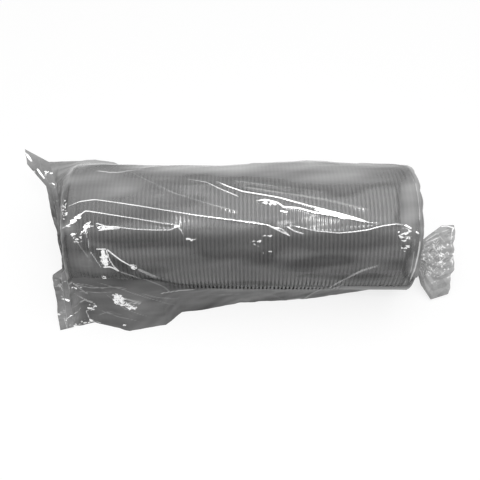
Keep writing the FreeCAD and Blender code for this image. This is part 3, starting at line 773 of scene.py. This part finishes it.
wrinkle = patternOf("long", slantFilm) + drape.shortShare * patternOf("short", slantFilm)
wrinkle = np.maximum(wrinkle, 0) ** drape.sharpness
lift = np.exp(-((filmTurn - math.radians(drape.liftTurn)) / drape.liftSpread) ** 2)
lift = tableAt(filmPoints[..., 0], topLift) * lift
sag = drape.sag * np.sin(math.pi * np.clip(filmOff, 0, 1)) * (filmTurn < 0) * upperOnly
crumple = patternOf("crumple", aroundFilm) * (filmOff > drape.crumpleFrom)
push = film["rise"] + lift + (drape.tightDepth + drape.looseDepth * filmOff) * wrinkle - sag
push = push + drape.crumpleDepth * crumple * filmOff
rowIndex = np.arange(len(filmPoints))[:, None]
push = push * windowOf(rowIndex, 0, len(filmPoints) - 1, drape.sealRows, drape.neckRows)
filmShape = filmPoints + filmNormals * push[..., None]
inSleeve = filmShape[..., 0] > bag.start - drape.sleeveEnds
inSleeve = inSleeve & (filmShape[..., 0] < bag.end + drape.sleeveEnds)
fromAxis = filmShape[..., 1:] - axisPoint[1:]
distance = lengthOf(fromAxis)
pushedOut = axisPoint[1:] + unitOf(fromAxis) * np.maximum(distance, bag.least)[..., None]
filmShape[..., 1:] = np.where(inSleeve[..., None], pushedOut, filmShape[..., 1:])
filmShape[..., 2] = np.maximum(filmShape[..., 2], bag.floor)

# Where the film is hazy and how light its haze is, both from 0 to 1: off the hose, and in patches
# where it lies in folds. The patches' tones are partly the haze's own grey and partly painted light and
# painted shade, lighter where the light falls and darker in the shade under the hose and over a
# reflecting rim. Each has its middle, half width and height in pixels, haze and tone.
hazeAndPaintedLightPatches = [
    (80, 188, 84, 36, 0.5, 0.74), (60, 178, 20, 18, 0.85, 0.66), (65, 190, 5, 26, 0.85, 0.32),
    (76, 258, 13, 28, 0.62, 0.36), (66, 218, 12, 22, 0.7, 0.42), (240, 168, 190, 11, 0.6, 1.25),
    (335, 172, 95, 19, 0.5, 1.15), (170, 302, 60, 8, 0.3, 0.25), (345, 277, 40, 4, 0.22, 0.3),
    (411, 208, 12, 42, 0.75, 0.78), (414, 262, 8, 22, 0.75, 0.75), (270, 255, 16, 5, 0.22, 0.35),
    (230, 240, 180, 22, 0.3, 0.36), (74, 305, 11, 22, 0.9, 0.62), (30, 160, 26, 26, 0.6, 0.6),
    (150, 262, 26, 12, 0.2, 0.3), (140, 306, 14, 5, 0.9, 0.42), (62, 258, 6, 30, 0.9, 0.1),
    (112, 285, 28, 8, 0.9, 0.2), (84, 282, 18, 8, 0.9, 0.26), (96, 270, 30, 4, 0.45, 0.24),
    (270, 297, 60, 6, 0.9, 0.45), (180, 300, 30, 8, 0.9, 0.34), (92, 303, 14, 10, 0.9, 0.3),
    (155, 196, 55, 14, 0.24, 0.9), (250, 229, 170, 5, 0.24, 0.9), (134, 241, 44, 4, 0.4, 0.2),
    (98, 268, 22, 13, 0.7, 0.28), (160, 259, 80, 9, 0.22, 0.24), (86, 262, 19, 14, 0.9, 0.34),
    (320, 260, 115, 10, 0.22, 0.26), (245, 286, 65, 4, 0.35, 0.03), (63, 204, 3.5, 14, 0.9, 0.05),
    (190, 178, 90, 8, 0.3, 0.95), (403, 205, 5, 40, 0.5, 0.9),
]
# The pixel row under which the film in front is no longer clear, and over how many rows it clouds.
skirtHaze = [(60, 266), (120, 273), (150, 278), (165, 281), (190, 284.5), (410, 285.5)]
skirtRise = [(60, 7), (165, 6), (195, 1.4), (410, 1.4)]
smoke = Values(
    offShare=1.6, most=0.97, rimOff=0.5, rimReach=5.0, liftReach=6.0, plainTone=0.3,
    patchEdge=1.2, backTurns=(-95, 46, 15, 25), backHaze=0.72, backTone=0.6, unevenHaze=0.12,
    unevenTone=0.09, streakTone=0.16, darkUnder=0.1, darkOff=0.5, mostTone=1.4,
    leastHaze=0.05,
)
filmX = filmPoints[..., 0]
lowFilm = upperOnly & (filmTurn < 0)
belowHose = easeOf((pixelY - tableAt(pixelX, skirtHaze)) / tableAt(pixelX, skirtRise))
overHose = windowOf(filmX, bag.start, bag.end, smoke.rimReach, smoke.rimReach)
haze = easeOf(filmOff * smoke.offShare) * (1 - lowFilm * overHose * (1 - belowHose))
rimOff = smoke.rimOff * easeOf(1 - np.abs(filmX - bag.end) / smoke.rimReach)
haze = np.maximum(haze, np.maximum(easeOf(rimOff * smoke.offShare), easeOf(lift / smoke.liftReach)))
haze = np.maximum(haze, belowHose * lowFilm) * smoke.most
haze[:, len(upperShare):] = smoke.most
tone = smoke.plainTone
for x, y, halfWide, halfHigh, strength, level in hazeAndPaintedLightPatches:
    share = np.exp(-((pixelX - x) / halfWide) ** 2 - ((pixelY - y) / halfHigh) ** 2) * upperOnly
    haze = np.maximum(haze, strength * share)
    tone = blendOf(tone, level, np.clip(share * smoke.patchEdge, 0, 1))
# Behind, where the photograph doesn't reach, it is clouded all over.
behind = windowOf(np.degrees(filmTurn), *smoke.backTurns)
haze = np.maximum(haze, smoke.backHaze * behind)
tone = blendOf(tone, smoke.backTone, behind)
uneven = patternOf("haze", slantFilm)
haze = np.clip(haze + smoke.unevenHaze * uneven * (haze > smoke.leastHaze), 0, 1)
tone = tone + smoke.unevenTone * uneven + smoke.streakTone * filmOff * patternOf("streaks", slantFilm)
# Painted shade: the film in front is painted darker close under the hose, where it leaves it.
tone = tone - smoke.darkUnder * lowFilm * (1 - easeOf(filmOff / smoke.darkOff))
tone = np.clip(tone, 0, smoke.mostTone)
# Just under the hose the film lies against its ribs, and the dark gaps between them show through.
ribGaps = Values(rows=(279, 292, 5, 3), columns=(160, 350, 45, 30))
gap = windowOf(pixelY, *ribGaps.rows) * windowOf(pixelX, *ribGaps.columns) * lowFilm
# The part of a turn round the axis, without a jump on the camera's side.
aroundShare = np.arctan2(filmPoints[..., 2] - axisPoint[2], axisPoint[1] - filmPoints[..., 1])
aroundShare = aroundShare / (2 * math.pi) - 0.5


def filmPiece(name, rows, wanted, loop=False):
    part = np.ix_(rows, wanted)
    values = {"crease": film["crease"], "white": film["white"], "glint": film["glint"], "haze": haze,
              "tone": tone, "gap": gap, "around": aroundShare}
    values = {label: numbers[part] for label, numbers in values.items()}
    return newPiece(name, filmShape[part], gridQuads(len(rows), len(wanted), False, loop), values)


sleeveRows = np.arange(sleeveFirst, sleeveLast + 1)
lowerColumns = np.append(np.arange(len(upperShare) - 1, columns), 0)
bagFilmUpper = filmPiece("bagFilmUpper", sleeveRows, np.arange(len(upperShare)))
bagFilmLower = filmPiece("bagFilmLower", sleeveRows, lowerColumns)
bagBottom = filmPiece("bagBottom", np.arange(0, sleeveFirst + 1), np.arange(columns), True)
bagShoulder = filmPiece("bagShoulder", np.arange(sleeveLast, len(filmShape)), np.arange(columns), True)

# Highlights painted on the weld and its ears, as glinting facets: half the width of each in
# millimetres, and the pixels it runs by.
weldPaintedGlints = [
    (0.75, 26.5, 153.5, 28.5, 158, 32, 161.5), (0.9, 26.5, 154, 31, 160),
    (0.75, 37, 168.5, 41, 174, 45, 179.5), (0.35, 38, 171, 43, 178), (0.5, 52, 183, 55, 185),
    (0.4, 57, 276, 62, 279), (0.8, 61, 299, 65.5, 299.5, 69.5, 301), (0.5, 61.5, 324, 63, 320),
    (0.3, 57, 284, 62, 283, 66, 281), (0.3, 65, 321, 71, 315.5),
]


# The weld: two films made one, with a heat line pressed a little way in from the cut edge.
def makeWeld():
    weld = Values(columns=300, rows=18, linePlace=0.45, lineDepth=0.4, lineWidth=0.3,
                  lineSpread=0.6, curl=2.6, curlWaves=12, fold=0.8, foldWaves=46, white=0.07,
                  uneven=0.12, unevenWaves=20, glintWaves=30, glintRange=1.2,
                  markWhites=(0.9, 1.0, 0.9), seed=41,
                  pinned=[(0, 0.1), (0.03, 1), (0.9, 1), (1, 0.2)],
                  glint=[(0, 0.12), (0.12, 0.05), (0.3, 0.06), (0.34, 0.03), (0.7, 0.02), (0.86, 0.05),
                      (1, 0.1)],
                  tone=[(0, 0.34), (0.3, 0.28), (0.36, 0.16), (0.75, 0.22), (0.88, 0.4), (1, 0.5)])
    u = np.linspace(0, 1, weld.columns + 1)
    v = np.linspace(0, 1, weld.rows + 1)[:, None]
    inner = sealAt(u)
    lean = np.cross(viewRight, sealSlope)
    knots = [castOnPlane(pixel, inner[0], lean) for place, pixel in weldEdge]
    span = routeAt(u, [place for place, pixel in weldEdge], knots) - inner
    points = inner + span * v[..., None]
    curl = weld.curl * v ** 2 * rippleOf(u * weld.curlWaves, 3.0, weld.seed)
    fold = weld.fold * v * rippleOf(u * weld.foldWaves, 9 + 2 * v, weld.seed + 1)
    away = np.abs(v - weld.linePlace) * lengthOf(span)
    line = -weld.lineDepth * np.exp(-(away / weld.lineSpread) ** 2)
    points = points + lean * ((curl + fold) * tableAt(u, weld.pinned) + line)[..., None]
    points[..., 2] = np.maximum(points[..., 2], bag.floor)
    # Facets painted white as glinting highlights, in a share that varies along the weld.
    glint = weld.glintRange * rippleOf(u * weld.glintWaves, v * 3 + 7, weld.seed + 2)
    glint = np.clip(0.5 + glint, 0, 1) * tableAt(u, weld.glint)
    uneven = rippleOf(u * weld.unevenWaves, v * 2 + 5, weld.seed + 3)
    tone = tableAt(u, weld.tone) + weld.uneven * uneven
    crease = np.clip(0.5 + (weld.lineWidth - away) / press.reach, 0, 1)
    edgeFilm = {"crease": crease, "white": weld.white + 0 * away, "glint": glint, "tone": tone}
    for width, *pixels in weldPaintedGlints:
        route = np.array([castOnPlane(pixel, inner[0], lean) for pixel in pairsOf(pixels)])
        pressCrease(points, edgeFilm, route, width, 0.0, weld.markWhites)
    return newPiece("bagWeld", points, gridQuads(*away.shape), edgeFilm)


# The gathered film past the neck, flared to a leaning fan of pleats. Both edges are given from the
# neck outwards by pixel and height, and white lines painted along its folds as glinting highlights by
# half width, white and pixels.
tailEdges = {
    "upper": [(412.5, 246.0, 37.0), (423.0, 240.0, 38.0), (433.0, 232.0, 40.0), (442.0, 225.5, 41.5),
              (455.0, 225.0, 42.0)],
    "lower": [(412.5, 262.0, 23.0), (418.0, 272.5, 18.0), (421.0, 285.0, 9.0), (431.0, 299.5, 2.0),
              (449.0, 294.0, 2.0)],
    "places": [0, 0.2, 0.42, 0.68, 1],
}
tailPaintedGlintLines = [
    (0.5, 0.9, 440, 226.5, 447, 226, 453.5, 228, 452, 232), (0.5, 0.8, 451, 262, 453, 256, 452, 266),
    (0.3, 0.6, 425, 241, 436, 234, 449, 229), (0.25, 0.5, 426, 243, 438, 238, 451, 234),
    (0.4, 0.7, 452, 232, 451, 242, 452, 252),
]


def makeTail():
    tail = Values(rows=90, columns=120, pleats=9, pleatDepth=0.9, pleatWander=0.9, jag=1.6,
                  thickness=[(0, 8.4), (0.12, 7.0), (0.4, 4.2), (1, 2.6)], crush=0.3, fineCrush=0.6,
                  pleatFade=0.45, spread=1.6, foldStray=10,
                  folds=50, foldX=(425, 444), foldY=(238, 276), foldLeans=[35, 50, 125, 150],
                  foldReach=(2.0, 7.0), foldWidth=(0.15, 0.42), foldWhite=(0.7, 1.0),
                  glint=0.13, glintMiddle=0.55, glintSpread=0.25, leastGlint=0.02, seed=57)
    u = np.linspace(0, 1, tail.rows + 1)[:, None]
    v = np.linspace(0, 1, tail.columns + 1)
    top, foot = [routeAt(u, tailEdges["places"], [castPixel(*knot) for knot in tailEdges[edge]])
                 for edge in ("upper", "lower")]
    flat = foot + (top - foot) * v[None, :, None]
    flat[..., 0] += u ** 3 * tail.jag * rippleOf(9 + 11 * v, 0 * v, tail.seed + 3)
    normal = unitOf(np.cross(np.gradient(flat, axis=0), top - foot))
    body = np.sqrt(np.clip(np.sin(math.pi * v), 0, 1))
    thick = tableAt(u, tail.thickness) * body
    waver = rippleOf(3 + 3.5 * u, 5 + 2.5 * v, tail.seed)
    pleat = np.abs(((tail.pleats * v + tail.pleatWander * waver) % 1) * 2 - 1) * 2 - 1
    crush = rippleOf(9 * u, 13 * v, tail.seed + 1)
    crush = crush + tail.fineCrush * rippleOf(19 * u, 25 * v, tail.seed + 2)
    relief = tail.pleatDepth * pleat * (1 - tail.pleatFade * u) + tail.crush * crush * easeOf(u * 3)
    relief = relief * body
    near = flat + normal * (thick + relief)[..., None]
    far = flat - normal * (thick - relief)[..., None]
    loop = np.concatenate([near, far[:, -2:0:-1]], 1)
    loop[..., 2] = np.maximum(loop[..., 2], bag.floor)
    tailFilm = {label: np.zeros(loop.shape[:2]) for label in ("crease", "white")}
    draw = np.random.default_rng(tail.seed)
    places = pixelOf(near)
    folds = list(tailPaintedGlintLines)
    for n in range(tail.folds):
        spot = np.array([draw.uniform(*tail.foldX), draw.uniform(*tail.foldY)])
        lean = math.radians(draw.choice(tail.foldLeans) + draw.normal(0, tail.foldStray))
        reach = np.array([math.cos(lean), math.sin(lean)]) * draw.uniform(*tail.foldReach)
        width, white = draw.uniform(*tail.foldWidth), draw.uniform(*tail.foldWhite)
        folds.append((width, white, *(spot - reach), *(spot + reach)))
    spots = near.reshape(-1, 3)
    for width, white, *pixels in folds:
        route = [spots[np.argmin(np.sum((places - pixel) ** 2, -1))] for pixel in pairsOf(pixels)]
        pressCrease(loop, tailFilm, np.array(route), width, 0.0, (white, white, white), tail.spread)
    # Facets painted white as glinting highlights, most across the middle of the fan and away from the neck.
    flecks = tail.glint * np.exp(-((v - tail.glintMiddle) / tail.glintSpread) ** 2) * easeOf(u * 4)
    flecks = flecks + tail.leastGlint
    tailFilm["glint"] = np.concatenate([flecks, flecks[:, -2:0:-1]], 1)
    return newPiece("bagTail", loop, gridQuads(len(u), loop.shape[1], False, True), tailFilm)


# The clear band, which is knotted at the neck: here a strip wound twice round it, wavering as it goes.
def makeBand():
    band = Values(start=153.6, reach=4.6, width=2.6, radius=9.75, wall=0.55, turns=1.85,
                  steps=220, firstTurn=0.6, spiral=0.35, sway=0.3, swell=0.12)
    turn = np.linspace(0, 2 * math.pi * band.turns, band.steps)[:, None]
    share = turn / turn[-1]
    side = np.array([0.0, 0.5, 1.0, 1.0, 0.5, 0.0])
    deep = np.array([0.0, 0.15, 0.0, 1.0, 1.15, 1.0])
    wave = 0.25 * np.sin(5 * turn + 1) + 0.15 * np.sin(11 * turn)
    x = band.start + (band.reach - band.width) * share + side * band.width + band.sway * wave
    radius = band.radius + deep * band.wall + band.spiral * share + band.swell * wave
    points = ringPoints(x, radius, turn + band.firstTurn, mouth.neckMiddle)
    ends = np.array([[0, 1, 4, 5], [1, 2, 3, 4]])
    last = points.shape[0] * points.shape[1] - 6
    quads = np.concatenate([gridQuads(*points.shape[:2], False, True), ends, last + ends[:, ::-1]])
    return newPiece("neckBand", points, quads[:, ::-1])


bagWeld = makeWeld()
bagTail = makeTail()
neckBand = makeBand()


# Clear film: mostly see-through over the hose, smoky where it hangs free, painted white along a
# crease and on the facets painted as glinting highlights.
def filmFinish():
    look = Values(
        veil=0.05, gloss=0.6, glossIndex=1.45, smoke=1.16, leastSmoke=0.85, cloudySmoke=0.3,
        shade=0.045, light=0.62, range=0.71, streaks=0.26, sheen=0.8, hazeEdge=5.0,
        whiteness=0.95, leastWhite=0.65, streakyWhite=0.7, facet=620.0, facetStretch=(0.55, 1.0, 1.0),
        cloud=(38.0, 3.0, 0.6, (0.35, 1.0, 1.0)), streak=(160.0, 2.0, 0.5, (0.12, 1.0, 1.0)),
        ribPrint=0.045, gaps=0.94, gapLevel=0.62, gapDip=0.8, bump=(1.0, 0.00011),
        metal=0.9, roughness=0.14, rougher=0.16, index=1.3,
    )
    finish = Finish("clearFilm")
    crease, white, haze, glint, tone, gap, around = finish.attributes(
        "crease", "white", "haze", "glint", "tone", "gap", "around")
    cloud = finish.noise(*look.cloud)
    streak = finish.noise(*look.streak)
    whiteAndPaintedGlint = finish.creaseWhitesAndPaintedGlints(crease, white, glint, look.facet, look.facetStretch,
                           look.leastWhite + look.streakyWhite * streak)
    gloss = finish.put("Fresnel", {"IOR": look.glossIndex})
    hazy = finish.limit(haze * look.hazeEdge)
    smoke = haze * look.smoke * (look.leastSmoke + look.cloudySmoke * cloud)
    cover = look.veil + look.gloss * gloss + smoke
    # Where it is tight, the film dips between the ribs.
    across = finish.put("SeparateXYZ", {"Vector": finish.place()})
    phase = (across / metres - hose.start) / hose.pitch + around
    dip = finish.put("Math", {0: phase * (2 * math.pi)}, operation="COSINE")
    dark = look.gaps * gap * finish.limit(look.gapLevel - look.gapDip * dip)
    cover = finish.limit(cover + whiteAndPaintedGlint) * (1.0 - dark)
    # Painted shade of the ribs under the film: its smoky grey is a little lighter over their crests and
    # darker between them.
    smoky = tone + look.streaks * (streak + cloud - 1.0) + look.ribPrint * dip * (1.0 - haze * haze)
    smoky = finish.mix(finish.limit(look.range * smoky), look.shade, look.light)
    base = finish.mix(whiteAndPaintedGlint, finish.mix(hazy, look.sheen, smoky), look.whiteness)
    relief = finish.bump(dip * (1.0 - hazy) * (1.0 - whiteAndPaintedGlint) + streak, *look.bump)
    return finish.seeThrough(cover, finish.skin(
        base, look.roughness + look.rougher * haze, Metallic=look.metal * (1.0 - hazy).most(whiteAndPaintedGlint),
        IOR=look.index, Normal=relief))


def tailFinish():
    look = Values(
        cover=0.86, cloudyCover=0.12, shade=0.28, light=0.54, whiteness=1.0, fold=230.0,
        foldShare=0.4, cloudShare=0.6, foldRelief=0.3, cloud=(120.0, 4.0, 0.65), fleck=620.0,
        metal=0.25, roughness=0.2, index=1.45, bump=(0.2, 0.0006),
    )
    finish = Finish("gatheredFilm")
    # Its grey is painted light and shade from facet to facet, as on crumpled film, mixed with an uneven
    # cloud.
    fold = finish.facets(look.fold)
    cloud = finish.noise(*look.cloud)
    whiteAndPaintedGlint = finish.creaseWhitesAndPaintedGlints(*finish.attributes("crease", "white", "glint"), look.fleck)
    base = finish.filmGrey(look, fold * look.foldShare + cloud * look.cloudShare, whiteAndPaintedGlint)
    relief = finish.bump(cloud + look.foldRelief * fold, *look.bump)
    skin = finish.skin(base, look.roughness, Metallic=look.metal * whiteAndPaintedGlint, IOR=look.index, Normal=relief)
    return finish.seeThrough(finish.limit(look.cover + look.cloudyCover * cloud + whiteAndPaintedGlint), skin)


def weldFinish():
    look = Values(
        shade=0.07, light=0.46, whiteness=0.95, cloud=(90.0, 4.0, 0.6), mottle=0.3, facet=620.0,
        facetStretch=(0.6, 1.0, 1.0), metal=0.85, roughness=0.22, index=1.45, bump=(0.4, 0.001),
    )
    finish = Finish("weldedFilm")
    cloud = finish.noise(*look.cloud)
    crease, white, glint, tone = finish.attributes("crease", "white", "glint", "tone")
    whiteAndPaintedGlint = finish.creaseWhitesAndPaintedGlints(crease, white, glint, look.facet, look.facetStretch)
    base = finish.filmGrey(look, tone + look.mottle * (cloud - 0.5), whiteAndPaintedGlint)
    return finish.end(finish.skin(base, look.roughness, Metallic=look.metal * whiteAndPaintedGlint, IOR=look.index,
                                  Normal=finish.bump(cloud, *look.bump)))


# The valleys are painted darker than the crests, as painted shade between the ribs, and low down,
# where less light comes into them, they are painted darker still.
def plyFinish(name, valley, crest, roughness):
    look = Values(
        crestEdge=1.6, lowCrestEdge=1.4, dust=0.35, dustLight=1.25, lessDust=0.6, lowShade=0.7,
        lowLevel=0.01, cloud=(70.0, 4.0, 0.6, (0.5, 1.0, 1.0)), grain=(900.0, 2.0, 0.5),
        rougher=0.12, index=1.5, bump=(0.2, 0.0002),
    )
    finish = Finish(name)
    rib, low = finish.attributes("rib", "low")
    dust = finish.noise(*look.cloud)
    base = finish.mix(finish.limit(rib ** (look.crestEdge + look.lowCrestEdge * low)), valley, crest)
    base = finish.mix(dust * look.dust * (1.0 - look.lessDust * low), base, crest * look.dustLight)
    base = finish.mix(low * (1.0 - rib) * look.lowShade, base, look.lowLevel)
    relief = finish.bump(finish.noise(*look.grain), *look.bump)
    return finish.end(finish.skin(base, roughness + look.rougher * dust, IOR=look.index, Normal=relief))


# A plain finish: a cloud from one grey to another, rougher where it is lighter.
def cloudyFinish(name, look):
    finish = Finish(name)
    cloud = finish.noise(*look.cloud)
    base = finish.mix(cloud, look.shade, look.light)
    return finish, cloud, base, look.roughness + look.rougher * cloud


def wireFinish():
    look = Values(cloud=(700.0, 2.0, 0.5), shade=0.45, light=0.62, roughness=0.25, rougher=0.15)
    finish, cloud, base, roughness = cloudyFinish("springSteel", look)
    return finish.end(finish.skin(base, roughness, Metallic=1.0))


def tapeFinish():
    look = Values(cloud=(60.0, 4.0, 0.6), shade=0.22, light=0.32, roughness=0.42, rougher=0.15,
                  weave=320.0, distortion=0.6, detail=1.0, bump=(0.25, 0.0002))
    finish, cloud, base, roughness = cloudyFinish("hemTape", look)
    values = {"Vector": finish.place(), "Scale": look.weave, "Distortion": look.distortion,
              "Detail": look.detail}
    weave = finish.put("TexWave", values, "Fac", bands_direction="X")
    return finish.end(finish.skin(base, roughness, Normal=finish.bump(weave, *look.bump)))


def bandFinish():
    look = Values(cloud=(200.0, 3.0, 0.6), shade=0.5, light=0.8, roughness=0.2, rougher=0.1,
                  cover=0.55, cloudyCover=0.2, index=1.5)
    finish, cloud, base, roughness = cloudyFinish("clearBand", look)
    return finish.seeThrough(look.cover + look.cloudyCover * cloud,
                             finish.skin(base, roughness, IOR=look.index))


def dress(piece, material):
    piece.data.materials.clear()
    piece.data.materials.append(material)


# What each piece wears, stands for and moves with. The hose's own are drawn between its two ends.
clearFilm = filmFinish()
pieces = [
    (outerPly, plyFinish("ribbedPly", 0.088, 0.208, 0.27), "hose_film", "outer_ply"),
    (innerPly, plyFinish("borePly", 0.07, 0.11, 0.35), "inner_ply_film", "inner_ply"),
    (wireHelix, wireFinish(), "spring_wire", "wire_helix"),
    (bagFilmUpper, clearFilm, "bag_film", "bag_sleeve"),
    (bagFilmLower, clearFilm, "bag_film", "bag_sleeve"),
    (bagBottom, clearFilm, "bag_film", "bag_bottom"),
    (bagShoulder, clearFilm, "bag_film", "bag_shoulder"),
    (bagTail, tailFinish(), "bag_film", "bag_tail"),
    (bagWeld, weldFinish(), "bag_weld", "bag_seal"),
    (neckBand, bandFinish(), "clear_band", "neck_band"),
]
drawStart, drawEnd = (-0.13405, -0.006017, 0.05495), (0.13705, -0.006017, 0.05495)
for piece, material, slot, node in pieces:
    dress(piece, material)
    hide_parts(node)
    if piece in (outerPly, innerPly, wireHelix):
        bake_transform(piece, "root", "free_end", start=drawStart, end=drawEnd)
    else:
        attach(piece, "bag")
for piece in (bagShoulder, bagTail, neckBand):
    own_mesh(piece)
hemTape = tapeFinish()
for node in ("fixed_end_binding", "free_end_binding"):
    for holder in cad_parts[node].material_slots:
        holder.material = hemTape
print("finishes made, and pieces tied to their bodies")


# The rays to which the floor and the room are white: those of the camera, and what they show by.
def whiteRays(finish):
    looked, glossy, through = [
        finish.put("LightPath", out=ray) for ray in ("Is Camera Ray", "Is Glossy Ray", "Is Transmission Ray")]
    return looked.most(glossy).most(through)


# A pale floor which keeps the shadow, and glows to white where the lamps no longer reach.
def makeFloor():
    look = Values(half=6000.0, colour=0.6, shadowShare=0.24, glow=0.78, farShare=0.06,
                  farGlow=0.97, near=0.35, far=1.6)
    corners = np.array([[-1, -1, 0], [1, -1, 0], [1, 1, 0], [-1, 1, 0]])
    floor = newPiece("paleFloor", corners * look.half, np.array([[0, 1, 2, 3]]))
    finish = Finish("paleFloor")
    looked = whiteRays(finish)
    away = finish.put("VectorMath", {0: finish.place()}, "Value", operation="LENGTH")
    away = finish.limit((away - look.near) / (look.far - look.near))
    base = finish.mix(looked, look.colour, finish.mix(away, look.shadowShare, look.farShare))
    glow = finish.mix(looked, 0.0, finish.mix(away, look.glow, look.farGlow))
    dress(floor, finish.end(finish.skin(base, 1.0, **{
        "Specular IOR Level": 0.0, "Emission Color": glow, "Emission Strength": 1.0})))


def makeWorld():
    look = Values(room=0.25, white=1.0)
    scene.world = bpy.data.worlds.new("whiteRoom")
    finish = Finish("whiteRoom", scene.world)
    strength = look.room + (look.white - look.room) * whiteRays(finish)
    finish.end(finish.put("Background", {"Color": grey(1.0), "Strength": strength}), "OutputWorld")


def makeLamp(name, middle, aim, wide, deep, radiance):
    lamp = bpy.data.objects.new(name, bpy.data.lights.new(name, "AREA"))
    lamp.data.shape = "RECTANGLE"
    lamp.data.size, lamp.data.size_y = wide, deep
    lamp.data.energy = radiance * math.pi * wide * deep
    lamp.visible_camera = False
    back = unitOf(np.array(middle) - np.array(aim))
    placeObject(lamp, viewRight, unitOf(np.cross(back, viewRight)), back, middle)


makeFloor()
makeWorld()
makeLamp("overheadPanel", middle=(0.0, -0.15, 1.15), aim=(0.0, -0.15, 0.055), wide=2.4, deep=2.1,
         radiance=1.16)
makeLamp("frontLamp", middle=(0.1, -0.45, 0.86), aim=(0.0, 0.0, 0.055), wide=0.22, deep=0.1,
         radiance=22.0)
print("floor, room and lamps set")
